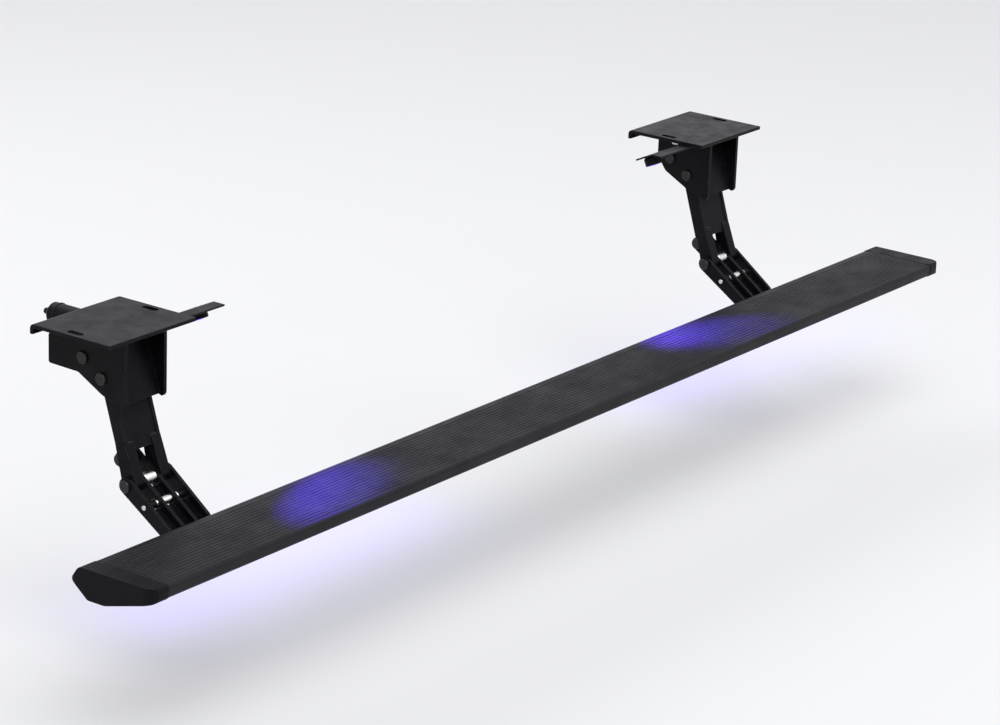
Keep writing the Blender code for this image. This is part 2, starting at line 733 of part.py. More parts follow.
def make_bracket(prefix, x):
    """The mounting bracket: a plate with a stiffening lip, slots for the body studs and bolt holes."""
    half = BRACKET_DEPTH / 2
    plate = BRACKET_THICKNESS
    corners = [(-half, 0), (half, 0), (half, -BRACKET_LIP), (half - plate, -BRACKET_LIP),
               (half - plate, -plate), (-half, -plate)]
    corners = [Vector(corner) for corner in corners]
    radii = (0.001, plate * 1.2, 0.001, 0.001, 0.001, 0.001)
    outline = [point for piece in rounded(corners, radii) for point in piece]
    bracket = extruded("bracket", [outline], x - BRACKET_LENGTH / 2, x + BRACKET_LENGTH / 2)
    for side in (-1, 1):
        slot_x = x + side * (BRACKET_LENGTH / 2 - 0.013)
        run = (BRACKET_SLOT_LENGTH - 2 * BRACKET_SLOT_RADIUS) / 2
        slot = link_outline(Vector((slot_x, -run)), BRACKET_SLOT_RADIUS,
                            Vector((slot_x, run)), BRACKET_SLOT_RADIUS, 8)
        cut(bracket, extruded("stud_slot", [slot], -plate * 2, plate, PLAN_PLANE))
        place = (x + side * FLANGE_BOLT_X, 0, -plate)
        cut(bracket, rod("blind_hole", BOLT_RADIUS + GAP, -plate, BOLT_BITE + GAP, place, ALONG_Z))
    return finish(bracket, prefix + "mount_bracket", BLACK_PAINT)


def make_housing_bolt(name, x):
    """A hexagon bolt up through the housing's flange into the bracket."""
    low = HOUSING_TOP - HOUSING_ROOF - GAP
    bolt = hexagon(name, BOLT_HEAD_RADIUS, low - BOLT_HEAD_HEIGHT, low, (x, 0, 0))
    join(bolt, rod("shank", BOLT_RADIUS, low - BOLT_HEAD_HEIGHT / 2, -BRACKET_THICKNESS + BOLT_BITE,
                   (x, 0, 0), ALONG_Z))
    return finish(bolt, name, STEEL)


def make_bumper(prefix, x):
    """The rubber stop between the stop wall and the outer arm's face."""
    low = OUTER_ARM_DEPTH / 2 - FACE_POCKET_DEPTH + GAP
    high = OUTER_ARM_DEPTH / 2 + BUMPER_LENGTH - GAP
    angle = math.atan2(-OUT_OF_ARM.x, OUT_OF_ARM.y)
    place = side_place(UPPER_OUTER + DOWN_ARM * BUMPER_DROP, x)
    profile = [(high, 0), (high, BUMPER_RADIUS), (low + BUMPER_EDGE, BUMPER_RADIUS),
               (low, BUMPER_RADIUS - BUMPER_EDGE), (low, 0)]
    return finish(turned("bumper", profile, place, (angle, 0, 0)), prefix + "stop_bumper", RUBBER)


def foot_web_outline(start, end):
    """A web along the foot's ears, just under the line of their holes."""
    top = LOWER_OUTER + UNDER_EAR * FOOT_WEB_DROP
    low = top + UNDER_EAR * FOOT_WEB
    return [top + ALONG_EAR * start, top + ALONG_EAR * end, low + ALONG_EAR * end, low + ALONG_EAR * start]


def make_foot(prefix, x):
    """The foot casting: two thin outer ears, two inner tongues and a saddle under the board."""
    keel_out, keel_in, tip = rounded(grown(board_corners(), GAP), BOARD_RADII)[2:5]
    pad = BOARD_DEPTH + SADDLE_WALL
    seat_end = keel_out[0] - keel_out[1]
    outer = [
        board_point(-SADDLE_WALL * SADDLE_SHOULDER, TIP_DROP - GAP),
        board_point(-SADDLE_WALL, TIP_DROP + SADDLE_WALL * SADDLE_SHOULDER),
        board_point(KEEL_INNER - SADDLE_INNER_EASE, pad),
        board_point(KEEL_OUTER + PAD_REACH, pad),
    ]
    lip = keel_out[0] + seat_end.normalized() * PAD_REACH
    half = EAR_OUTER_X - EAR_INSET
    saddle = extruded("saddle", [[lip] + keel_out + keel_in + tip[:3] + outer], x - half, x + half)
    eyes = [circle(LOWER_OUTER, HOLE_RADIUS)]
    ear = link_outline(LOWER_OUTER, EAR_EYE_RADIUS, EAR_END, EAR_BAND / 2, 7)
    for low, high in both_sides(EAR_INNER_X, EAR_OUTER_X):
        join(saddle, extruded("ear", [ear] + eyes, x + low, x + high))
    tongue = link_outline(LOWER_INNER, TONGUE_EYE_RADIUS, EAR_END, EAR_BAND / 2 - EAR_INSET, 7)
    for low, high in both_sides(TONGUE_INNER_X, TONGUE_OUTER_X):
        holes = eyes + [circle(LOWER_INNER, HOLE_RADIUS), circle(TIE_AXIS, TIE_RADIUS + GAP)]
        join(saddle, extruded("tongue", [tongue] + holes, x + low, x + high))
    tie_along = (TIE_AXIS - LOWER_OUTER).dot(ALONG_EAR)
    tie_keep = TIE_RADIUS + FOOT_WEB_GAP
    web_end = (EAR_END - LOWER_OUTER).length + SADDLE_WALL
    across = EAR_INNER_X + EAR_THICKNESS / 2
    main_web = foot_web_outline(tie_along + tie_keep, web_end)
    join(saddle, extruded("main_web", [main_web], x - across, x + across))
    across = TONGUE_INNER_X + TONGUE_THICKNESS / 2
    eye_web = foot_web_outline(SLEEVE_RADIUS + 2 * FOOT_WEB_GAP, tie_along - tie_keep)
    join(saddle, extruded("eye_web", [eye_web], x - across, x + across))
    boss_radius = TIE_SPIGOT_RADIUS + TIE_BOSS_WALL
    for low, high in both_sides(TIE_BRIGHT_LENGTH / 2 + GAP, EAR_INNER_X + EAR_THICKNESS / 2):
        join(saddle, rod("tie_boss", boss_radius, low, high, side_place(TIE_AXIS, x)))
    for clamp_x in clamp_places(x):
        place = (clamp_x, board_point(SLOT_MIDDLE, 0).x, KEEL_BOTTOM)
        cut(saddle, rod("clamp_hole", BOLT_RADIUS + GAP, -2 * SADDLE_WALL, SADDLE_WALL, place, ALONG_Z))
    cut(saddle, rod("spigot_hole", TIE_SPIGOT_RADIUS + GAP, -2 * half, 2 * half, side_place(TIE_AXIS, x)))
    return finish(saddle, prefix + "foot", BLACK_PAINT)


def clamp_places(x):
    return (x - CLAMP_SPACING / 2, x + CLAMP_SPACING / 2)


def make_clamp_bolt(name, x):
    """A T-headed bolt in the board's slot with its nut under the foot."""
    y = board_point(SLOT_MIDDLE, 0).x
    lip = KEEL_BOTTOM + SLOT_LIP + GAP
    wide = SLOT_WIDTH / 2 - 2 * GAP
    head = block(name, (x - wide, y - wide, lip), (x + wide, y + wide, lip + SLOT_HEIGHT - 3 * GAP))
    nut_top = KEEL_BOTTOM - SADDLE_WALL - GAP
    nut_low = nut_top - CLAMP_NUT_HEIGHT
    join(head, rod("shank", BOLT_RADIUS, nut_low - BOLT_END, lip + SLOT_HEIGHT / 2, (x, y, 0), ALONG_Z))
    join(head, hexagon("nut", BOLT_HEAD_RADIUS, nut_low, nut_top, (x, y, 0)))
    return finish(head, name, STEEL)


def make_tie(prefix, x):
    """The bright spindle that ties the foot's ears together."""
    bright = TIE_BRIGHT_LENGTH / 2
    end = EAR_OUTER_X
    half_profile = [(end, 0), (end, TIE_SPIGOT_RADIUS - TIE_END_BREAK),
                    (end - TIE_END_BREAK, TIE_SPIGOT_RADIUS), (bright, TIE_SPIGOT_RADIUS), (bright, TIE_RADIUS)]
    profile = half_profile + [(-along, radius) for along, radius in reversed(half_profile)]
    return finish(turned("tie", profile, side_place(TIE_AXIS, x)), prefix + "tie_spindle", STEEL)


def make_sleeve(prefix, x):
    """The bright spacer sleeve on the lower outer pin, between the foot's tongues."""
    half = TONGUE_INNER_X - GAP
    profile = [(half, HOLE_RADIUS), (half, SLEEVE_RADIUS - EDGE), (half - EDGE, SLEEVE_RADIUS),
               (EDGE - half, SLEEVE_RADIUS), (-half, SLEEVE_RADIUS - EDGE), (-half, HOLE_RADIUS)]
    sleeve = turned("sleeve", profile, side_place(LOWER_OUTER, x), hollow=True)
    return finish(sleeve, prefix + "spacer_sleeve", STEEL)


def tooth_points(centre, teeth, angle):
    """Four points of one straight-flanked tooth, walked anticlockwise."""
    pitch = GEAR_MODULE * teeth / 2
    half = math.pi * GEAR_MODULE / 4 * TOOTH_FILL
    slope = math.tan(math.radians(FLANK_ANGLE))
    root = pitch - TOOTH_DEDENDUM * GEAR_MODULE
    tip = pitch + TOOTH_ADDENDUM * GEAR_MODULE
    root_half = math.degrees((half + TOOTH_DEDENDUM * GEAR_MODULE * slope * 0.6) / root)
    tip_half = math.degrees((half - TOOTH_ADDENDUM * GEAR_MODULE * slope) / tip)
    return [
        centre + root * polar(angle - root_half),
        centre + tip * polar(angle - tip_half),
        centre + tip * polar(angle + tip_half),
        centre + root * polar(angle + root_half),
    ]


def make_pinion(x):
    """The drive pinion and its shaft, one turned and cut piece."""
    pitch = 360 / PINION_TEETH
    outline = []
    for index in range(PINION_TEETH):
        outline += tooth_points(PINION_AXIS, PINION_TEETH, 180 + index * pitch)
    gear = extruded("pinion", [outline], x + GEAR_INNER_X, x + GEAR_INNER_X + GEAR_WIDTH)
    end = CHEEK_OUTER_X + GEARBOX_DEPTH * 0.6
    join(gear, rod("shaft", SHAFT_RADIUS, GEAR_INNER_X - GEAR_WIDTH / 2, end, side_place(PINION_AXIS, x)))
    return finish(gear, "drive_pinion", STEEL)


def make_sector(x):
    """The toothed sector fixed on the drive arm's hub."""
    pitch = 360 / SECTOR_TEETH
    first = math.floor((-SWING - SECTOR_MARGIN) / pitch) + 0.5
    last = math.ceil(SECTOR_MARGIN / pitch) - 0.5
    outline = []
    for index in range(int(last - first) + 1):
        outline += tooth_points(UPPER_INNER, SECTOR_TEETH, (first + index) * pitch)
    ring = DRIVE_HUB_RADIUS + GAP + GEAR_RING
    start = last * pitch + pitch
    outline += arc(UPPER_INNER, ring, start, 360 + first * pitch - pitch, 16)
    bore = circle(UPPER_INNER, DRIVE_HUB_RADIUS + GAP)
    sector = extruded("sector", [outline, bore], x + GEAR_INNER_X, x + GEAR_INNER_X + GEAR_WIDTH)
    return finish(sector, "sector_gear", STEEL)


def screw_places():
    """Where the gearbox screws stand, seen along X."""
    return [PINION_AXIS + GEARBOX_SCREW_CIRCLE * polar(angle) for angle in (100, 220, 340)]


def make_gear_drive(x):
    """Gearbox case with its worm tunnel, cover, motor can, cable gland and screws."""
    face = CHEEK_OUTER_X + GAP
    depth_end = face + GEARBOX_DEPTH
    centre = side_place(PINION_AXIS, x)
    case = rod("case", GEARBOX_RADIUS, face, depth_end, centre)
    worm_radius = GEARBOX_DEPTH / 2 - 0.0003
    worm_place = centre + Vector((face + GEARBOX_DEPTH / 2, 0, WORM_OFFSET))
    join(case, rod("worm_tunnel", worm_radius, -GEARBOX_RADIUS, MOTOR_START, worm_place, ALONG_Y))
    cut(case, rod("shaft_socket", SHAFT_RADIUS + GAP, 0, CHEEK_OUTER_X + GEARBOX_DEPTH * 0.6 + GAP, centre))
    reach = depth_end + COVER_THICKNESS
    for point in screw_places():
        cut(case, rod("screw_hole", GEARBOX_SCREW_RADIUS + GAP, 0, 2 * reach, side_place(point, x)))
    low = depth_end + GAP
    high = low + COVER_THICKNESS
    dish = GEARBOX_SCREW_CIRCLE - GEARBOX_SCREW_HEAD - COVER_RIM
    profile = [(high + COVER_RIM, 0), (high + COVER_RIM, dish - COVER_RIM), (high, dish),
               (high, GEARBOX_RADIUS - EDGE), (high - EDGE, GEARBOX_RADIUS), (low, GEARBOX_RADIUS), (low, 0)]
    cover = turned("cover", profile, centre)
    for point in screw_places():
        cut(cover, rod("screw_hole", GEARBOX_SCREW_RADIUS + GAP, 0, 2 * reach, side_place(point, x)))
    can_start = MOTOR_START + GAP
    can_end = can_start + MOTOR_LENGTH
    can_profile = [(can_end, 0), (can_end, MOTOR_RADIUS - MOTOR_EDGE), (can_end - MOTOR_EDGE, MOTOR_RADIUS),
                   (can_start + MOTOR_EDGE, MOTOR_RADIUS), (can_start, MOTOR_RADIUS - MOTOR_EDGE / 2),
                   (can_start, 0)]
    can = turned("can", can_profile, worm_place, ALONG_Y)
    gland_low = can_end + GAP
    gland_high = gland_low + GLAND_LENGTH
    gland_neck = gland_low + GLAND_COLLAR
    gland_profile = [(gland_high, 0), (gland_high, GLAND_TIP_RADIUS), (gland_neck, GLAND_NECK_RADIUS),
                     (gland_neck, GLAND_RADIUS), (gland_low, GLAND_RADIUS), (gland_low, 0)]
    gland = turned("gland", gland_profile, worm_place, ALONG_Y)
    finish(case, "gearbox_case", CAST_ALLOY)
    finish(cover, "gearbox_cover", BLACK_PAINT)
    finish(can, "motor_can", BLACK_PAINT)
    finish(gland, "cable_gland", RUBBER)
    shank_end = CHEEK_OUTER_X - GEARBOX_SCREW_BITE
    head_low = high + GAP
    head_high = head_low + GEARBOX_SCREW_RADIUS
    for index, point in enumerate(screw_places()):
        profile = [(head_high, 0), (head_high, GEARBOX_SCREW_HEAD * 0.7), (head_low, GEARBOX_SCREW_HEAD),
                   (head_low, GEARBOX_SCREW_RADIUS), (shank_end, GEARBOX_SCREW_RADIUS), (shank_end, 0)]
        screw = turned("screw", profile, side_place(point, x), steps=16)
        finish(screw, f"gearbox_screw_{index + 1}", STEEL)


def make_lamp(prefix, x, side):
    """A lamp under a bent sheet bracket, tilted to light the board."""
    slope = Vector((math.cos(math.radians(LAMP_TILT)), -math.sin(math.radians(LAMP_TILT))))
    under = Vector((slope.y, -slope.x))
    bend = Vector((LAMP_SHEET_Y + LAMP_SHEET_FLAT, HOUSING_TOP))
    end = bend + slope * LAMP_SHEET_SLOPE
    inner_bend = bend + Vector((-math.tan(math.radians(LAMP_TILT / 2)), -1)) * LAMP_SHEET
    corners = [Vector((LAMP_SHEET_Y, HOUSING_TOP)), bend, end, end + under * LAMP_SHEET, inner_bend,
               Vector((LAMP_SHEET_Y, HOUSING_TOP - LAMP_SHEET))]
    radii = (SHEET_EDGE, LAMP_BEND + LAMP_SHEET, SHEET_EDGE, SHEET_EDGE, LAMP_BEND, SHEET_EDGE)
    outline = [point for piece in rounded(corners, radii) for point in piece]
    ends = sorted((x + side * LAMP_SHEET_START, x + side * LAMP_SHEET_END))
    sheet = extruded("lamp_sheet", [outline], ends[0], ends[1])
    notch_start = LAMP_SHEET_START - LAMP_NOTCH_MARGIN
    notch_ends = (side * notch_start, side * (BRACKET_LENGTH / 2 + LAMP_NOTCH_MARGIN))
    notch_low = (x + min(notch_ends), bend.x - LAMP_NOTCH_MARGIN, end.y - LAMP_SHEET * 2)
    notch_high = (x + max(notch_ends), end.x + LAMP_NOTCH_MARGIN, 0)
    cut(sheet, block("stud_nut_notch", notch_low, notch_high))
    middle = bend + slope * (LAMP_SHEET_SLOPE / 2) + under * (LAMP_SHEET + GAP)
    place = side_place(middle, x + side * LAMP_ALONG)
    rotation = (math.pi - math.radians(LAMP_TILT), 0, 0)
    floor = LAMP_HEIGHT - LAMP_LENS_DEPTH
    profile = [(floor, 0), (floor, LAMP_LENS_RADIUS), (LAMP_HEIGHT, LAMP_LENS_RADIUS),
               (LAMP_HEIGHT, LAMP_RADIUS - EDGE), (LAMP_HEIGHT - EDGE, LAMP_RADIUS),
               (LAMP_BACK_BREAK, LAMP_RADIUS), (0, LAMP_RADIUS - LAMP_BACK_BREAK), (0, 0)]
    body = turned("lamp", profile, place, rotation)
    lens_radius = LAMP_LENS_RADIUS - GAP
    lens_profile = [(LAMP_HEIGHT + LAMP_DOME, 0), (LAMP_HEIGHT + LAMP_DOME * 0.8, lens_radius * 0.6),
                    (LAMP_HEIGHT, lens_radius), (floor + GAP, lens_radius), (floor + GAP, 0)]
    lens = turned("lens", lens_profile, place, rotation)
    finish(sheet, prefix + "lamp_bracket", BLACK_PAINT)
    finish(body, prefix + "lamp_housing", CAP_PLASTIC)
    finish(lens, prefix + "lamp_lens", LENS)


def axis_empty(name, point, x):
    """An empty on a joint's axis, to carry the pieces that turn about it."""
    empty = bpy.data.objects.new(name, None)
    empty.location = side_place(point, x)
    PARTS.objects.link(empty)
    return empty


def carry(empty, pieces):
    """Parent pieces to an empty without moving them."""
    bpy.context.view_layer.update()
    for piece in pieces:
        piece.parent = empty
        piece.matrix_parent_inverse = empty.matrix_world.inverted()


def make_linkage(prefix, x, driven, lamp_side):
    """One complete linkage. Returns the pieces that belong to the board's body."""
    half = OUTER_ARM_WIDTH / 2
    make_housing(prefix, x, driven)
    make_bracket(prefix, x)
    make_bumper(prefix, x)
    make_lamp(prefix, x, lamp_side)
    for index, side in enumerate((-1, 1)):
        make_housing_bolt(f"{prefix}housing_bolt_{index + 1}", x + side * FLANGE_BOLT_X)
    make_pin(prefix + "outer_arm_pin", UPPER_OUTER, x, CHEEK_OUTER_X)
    make_pin(prefix + "drive_arm_pin", UPPER_INNER, x, CHEEK_OUTER_X)
    outer = [make_outer_arm(prefix, x), make_bush(prefix + "outer_arm_bush", UPPER_OUTER, x - half, x + half)]
    for index, (low, high) in enumerate(both_sides(FORK_SLOT_WIDTH / 2, half)):
        outer.append(make_bush(f"{prefix}fork_bush_{index + 1}", LOWER_OUTER, x + low, x + high))
    hub = DRIVE_HUB_WIDTH / 2
    eye = DRIVE_BAR_WIDTH / 2
    drive = [
        make_drive_arm(prefix, x),
        make_bush(prefix + "drive_arm_bush", UPPER_INNER, x - hub, x + hub),
        make_bush(prefix + "drive_eye_bush", LOWER_INNER, x - eye, x + eye),
    ]
    if driven:
        drive.append(make_sector(x))
        carry(axis_empty("pinion_axis", PINION_AXIS, x), [make_pinion(x)])
        make_gear_drive(x)
    carry(axis_empty(prefix + "outer_arm_axis", UPPER_OUTER, x), outer)
    carry(axis_empty(prefix + "drive_arm_axis", UPPER_INNER, x), drive)
    foot = [
        make_foot(prefix, x),
        make_pin(prefix + "fork_pin", LOWER_OUTER, x, EAR_OUTER_X),
        make_pin(prefix + "drive_eye_pin", LOWER_INNER, x, TONGUE_OUTER_X),
        make_sleeve(prefix, x),
        make_tie(prefix, x),
    ]
    for index, clamp_x in enumerate(clamp_places(x)):
        foot.append(make_clamp_bolt(f"{prefix}clamp_bolt_{index + 1}", clamp_x))
    return foot


def shade_round_pieces():
    """Smooth shading with sharp edges kept."""
    for item in PARTS.objects:
        if item.type == "MESH" and item.data.polygons:
            item.data.shade_smooth()
            item.data.set_sharp_from_angle(angle=math.radians(35))


def build():
    board = [
        make_board(),
        make_cap("front_end_cap", BOARD_FRONT, 1),
        make_cap("rear_end_cap", BOARD_REAR, -1),
    ]
    board += make_linkage("front_", 0, True, 1)
    board += make_linkage("rear_", LINKAGE_SPACING, False, -1)
    carry(axis_empty("board_axis", LOWER_INNER, 0), board)
    shade_round_pieces()


build()
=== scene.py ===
"""Looks of the power running board: materials, small fittings, lamps' glow, stage, lights and camera."""
import json
import math

import bmesh
import bpy
from mathutils import Matrix, Vector


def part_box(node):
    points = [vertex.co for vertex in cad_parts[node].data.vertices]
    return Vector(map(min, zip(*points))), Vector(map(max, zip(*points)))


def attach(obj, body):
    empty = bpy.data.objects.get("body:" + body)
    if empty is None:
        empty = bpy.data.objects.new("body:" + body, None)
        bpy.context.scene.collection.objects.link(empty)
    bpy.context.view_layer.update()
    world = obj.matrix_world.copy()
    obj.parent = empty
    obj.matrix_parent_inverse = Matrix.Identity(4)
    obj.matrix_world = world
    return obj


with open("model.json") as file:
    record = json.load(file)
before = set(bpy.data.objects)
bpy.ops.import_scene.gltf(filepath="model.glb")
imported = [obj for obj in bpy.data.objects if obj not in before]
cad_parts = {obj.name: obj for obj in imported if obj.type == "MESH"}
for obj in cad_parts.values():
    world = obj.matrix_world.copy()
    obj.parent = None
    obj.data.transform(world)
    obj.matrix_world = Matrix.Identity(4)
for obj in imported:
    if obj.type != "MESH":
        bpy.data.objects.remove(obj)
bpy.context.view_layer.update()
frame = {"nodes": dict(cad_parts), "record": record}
NODES = frame["nodes"]

# The floor lies as far below the board as the road does in the photograph
FLOOR_Z = -0.575
FLOOR_REACH = 30

# Small fittings
PIN_TAIL = 0.004
CLIP_GAP = 0.0003
CLIP_THICKNESS = 0.0011
CLIP_INNER = 0.0052
CLIP_OUTER = 0.0088
CLIP_SWEEP = 296
CLIP_START = 52
CLIP_STEPS = 30
CLIP_EDGE = 0.00015
BOLT_END = 0.003
GLAND_RINGS = 4
GLAND_FIRST_RING = 0.0062
GLAND_RING_STEP = 0.0019
GLAND_RING_RADIUS = 0.0060
GLAND_RING_TAPER = 0.0003
THROUGH_BOLT_OUT = 0.0108
LAMP_TO_SHEET_TOP = 0.0113
LAMP_SCREW_OUT = 0.008
RIVET_IN = 0.012
RIVET_ASIDE = 0.009
SHEET_THICKNESS = 0.003
SEAM_HALF_WIDTH = 0.0013
SEAM_DEPTH = 0.001
SEAM_PROUD = 0.0006
SEAM_EDGE = 0.0004
SEAM_FROM_CASE_END = 0.009
SEAM_FROM_FREE_END = 0.016

# Sections of turned fittings, as (along, radius) points. The gland ring's radii are below its crest
COLLAR = [(0, 0.0039), (0.0003, 0.0062), (-0.0009, 0.0060), (-0.0016, 0.0052), (-0.0016, 0.0039)]
GLAND_RING = [(-0.0006, -0.0015), (-0.0005, -0.0002), (0, 0), (0.0005, -0.0002), (0.0006, -0.0015)]
THROUGH_BOLT = [(-0.0005, 0), (-0.0005, 0.0024), (0.0013, 0.0024), (0.0018, 0.0018), (0.0018, 0)]
BEZEL = [(0.0008, 0.0109), (0.0017, 0.0113), (0.0017, 0.0127), (0.0011, 0.0135), (0.0008, 0.0135)]
LAMP_SCREW = [(-0.0003, 0), (-0.0003, 0.0030), (0.0006, 0.0030), (0.0014, 0.0023), (0.0018, 0.0012),
              (0.0018, 0)]
RIVET = [(-0.0003, 0), (-0.0003, 0.0045), (0.0008, 0.0040), (0.0016, 0.0026), (0.0019, 0)]

# How edges are treated, in the solids and in the fittings: angles in degrees, distances in metres
SHARP_ANGLE = 35
CREASE_ANGLE = 24
BREAK_ANGLE = 40
FLAT_ANGLE = 0.5
WELD_DISTANCE = 0.000002
MERGE_DISTANCE = 0.000001
ROUNDER_LEVELS = 2

# The photograph's viewpoint, aimed at the board through a longer lens
CAMERA_PLACE = (-3.8329, -3.5096, 1.6834)
CAMERA_YAW = 36.106
CAMERA_DOWN = 18.485
CAMERA_ROLL = 2.159
CAMERA_LENS = 131.5

# Where each lamp's light falls on the deck, and the violet light that reaches the floor behind the board
GLOW_COLOUR = (0.11, 0.045, 1.0)
GLOW_ANGLE = 62
GLOW_NARROWING = 0.32
GLOW_START = 0.012
GLOW_RADIUS = 0.012
GLOW_SPOTS = {"front_": (0.228, -0.241), "rear_": (1.306, -0.240)}
GLOW_POWER = {"front_": 155.0, "rear_": 59.0}
POOLS = ((0.52, 0.12), (1.95, 0.16))
POOL_SIZE = (0.75, 0.16)
POOL_HEIGHT = 0.11
POOL_POWER = 0.26

# Strength of the studio's surroundings as light, and as what the camera, a gloss or glass shows
WORLD_LIGHT = 0.50
WORLD_SEEN = 1.0

# Studio lights: each area light's place, target, size and power, then the key's
AREA_LIGHTS = {
    "softbox": ((-1.6, -3.2, 3.4), (0.8, -0.2, -0.3), (3.2, 3.2), 55),
    "fill": ((3.6, -2.6, 2.4), (0.9, -0.2, -0.3), (2.6, 2.6), 35),
    "rim": ((0.8, 3.0, 2.6), (0.8, -0.1, -0.2), (3.0, 2.0), 35),
}
KEY_PLACE = (-1.6, -2.4, 3.8)
KEY_TARGET = (0.8, -0.2, -0.3)
KEY_POWER = 1.15
KEY_ANGLE = 40


# Materials

class Shader:
    """A material under construction, with short calls for the nodes used here."""

    def __init__(self, name, colour, roughness, metallic=0.0):
        self.material = bpy.data.materials.new(name)
        self.material.use_nodes = True
        self.tree = self.material.node_tree
        self.surface = self.tree.nodes["Principled BSDF"]
        self.surface.inputs["Base Color"].default_value = (*colour, 1)
        self.surface.inputs["Roughness"].default_value = roughness
        self.surface.inputs["Metallic"].default_value = metallic
        self.normal = None
        self.colour = None

    def node(self, kind, **values):
        node = self.tree.nodes.new(kind)
        for key, value in values.items():
            setattr(node, key, value)
        return node

    def link(self, start, end):
        self.tree.links.new(start, end)

    def specular(self, level):
        """Strength of the plain reflection, where 0.5 is that of common plastic."""
        self.surface.inputs["Specular IOR Level"].default_value = level

    def place(self, stretch=(1, 1, 1)):
        """Object coordinates, stretched along each axis."""
        coordinates = self.node("ShaderNodeTexCoord")
        mapping = self.node("ShaderNodeMapping")
        mapping.inputs["Scale"].default_value = stretch
        self.link(coordinates.outputs["Object"], mapping.inputs["Vector"])
        return mapping.outputs["Vector"]

    def noise(self, scale, detail=3.0, rough=0.55, stretch=(1, 1, 1)):
        node = self.node("ShaderNodeTexNoise")
        node.inputs["Scale"].default_value = scale
        node.inputs["Detail"].default_value = detail
        node.inputs["Roughness"].default_value = rough
        self.link(self.place(stretch), node.inputs["Vector"])
        return node.outputs["Fac"]

    def cells(self, scale):
        node = self.node("ShaderNodeTexVoronoi")
        node.inputs["Scale"].default_value = scale
        self.link(self.place(), node.inputs["Vector"])
        return node.outputs["Distance"]

    def spread(self, value, low, high, to_low=0.0, to_high=1.0):
        """Map a value's range to another range."""
        node = self.node("ShaderNodeMapRange")
        node.inputs["From Min"].default_value = low
        node.inputs["From Max"].default_value = high
        node.inputs["To Min"].default_value = to_low
        node.inputs["To Max"].default_value = to_high
        self.link(value, node.inputs["Value"])
        return node.outputs["Result"]

    def times(self, first, second):
        node = self.node("ShaderNodeMath", operation="MULTIPLY")
        for value, socket in ((first, node.inputs[0]), (second, node.inputs[1])):
            if isinstance(value, (int, float)):
                socket.default_value = value
            else:
                self.link(value, socket)
        return node.outputs[0]

    def axis(self, name):
        """One object coordinate in metres."""
        split = self.node("ShaderNodeSeparateXYZ")
        coordinates = self.node("ShaderNodeTexCoord")
        self.link(coordinates.outputs["Object"], split.inputs[0])
        return split.outputs[name]

    def tint(self, mask, colour):
        """Mix a colour over the base colour where the mask is one."""
        mix = self.node("ShaderNodeMix", data_type="RGBA")
        if self.colour is None:
            mix.inputs["A"].default_value = self.surface.inputs["Base Color"].default_value
        else:
            self.link(self.colour, mix.inputs["A"])
        mix.inputs["B"].default_value = (*colour, 1)
        self.link(mask, mix.inputs["Factor"])
        self.colour = mix.outputs["Result"]
        self.link(self.colour, self.surface.inputs["Base Color"])

    def gloss(self, value, low, high):
        """Roughness that follows a value."""
        self.link(self.spread(value, 0.3, 0.7, low, high), self.surface.inputs["Roughness"])

    def relief(self, height, depth, strength=1.0):
        """Bump of a real depth in metres."""
        bump = self.node("ShaderNodeBump")
        bump.inputs["Distance"].default_value = depth
        bump.inputs["Strength"].default_value = strength
        self.link(height, bump.inputs["Height"])
        if self.normal is not None:
            self.link(self.normal, bump.inputs["Normal"])
        self.normal = bump.outputs["Normal"]
        self.link(self.normal, self.surface.inputs["Normal"])

    def edge_mask(self, radius):
        """One along the edges, from how far a rounded normal turns away from the face's own."""
        soft = self.node("ShaderNodeBevel", samples=4)
        soft.inputs["Radius"].default_value = radius
        geometry = self.node("ShaderNodeNewGeometry")
        dot = self.node("ShaderNodeVectorMath", operation="DOT_PRODUCT")
        self.link(soft.outputs["Normal"], dot.inputs[0])
        self.link(geometry.outputs["True Normal"], dot.inputs[1])
        return self.spread(dot.outputs["Value"], 0.985, 0.90)


def powder_coat(name, colour, roughness, peel):
    """Black powder coat: orange peel, faint dust and thin wear along the edges."""
    shader = Shader(name, colour, roughness)
    shader.specular(0.07)
    film = shader.times(shader.spread(shader.noise(11.0, 7.0, 0.72), 0.42, 0.72), 0.6)
    shader.tint(film, tuple(c + 0.009 for c in colour))
    specks = shader.spread(shader.noise(950.0, 2.0), 0.64, 0.70)
    dusty = shader.spread(shader.noise(20.0, 3.0), 0.40, 0.65)
    shader.tint(shader.times(specks, dusty), (0.040, 0.039, 0.037))
    wear = shader.times(shader.edge_mask(0.0011), shader.spread(shader.noise(150.0, 5.0, 0.7), 0.44, 0.58))
    shader.tint(shader.times(wear, 0.6), (0.095, 0.095, 0.098))
    shader.gloss(shader.noise(22.0, 6.0, 0.65), roughness - 0.10, roughness + 0.16)
    shader.relief(shader.noise(peel, 2.0), 0.00022, 0.8)
    return shader.material


def moulded_plastic():
    """Black moulded plastic with a fine pebble grain, paler where shoes scuff it."""
    shader = Shader("black_moulded_plastic", (0.0050, 0.0050, 0.0060), 0.46)
    shader.specular(0.07)
    scuff = shader.times(shader.spread(shader.noise(70.0, 6.0, 0.7, (1, 3, 1)), 0.60, 0.78), 0.30)
    shader.tint(scuff, (0.026, 0.026, 0.027))
    wear = shader.times(shader.edge_mask(0.0010), shader.spread(shader.noise(210.0, 3.0), 0.45, 0.65))
    shader.tint(shader.times(wear, 0.35), (0.05, 0.05, 0.05))
    shader.gloss(shader.noise(30.0), 0.38, 0.55)
    shader.relief(shader.cells(1100.0), 0.00022, 0.8)
    return shader.material


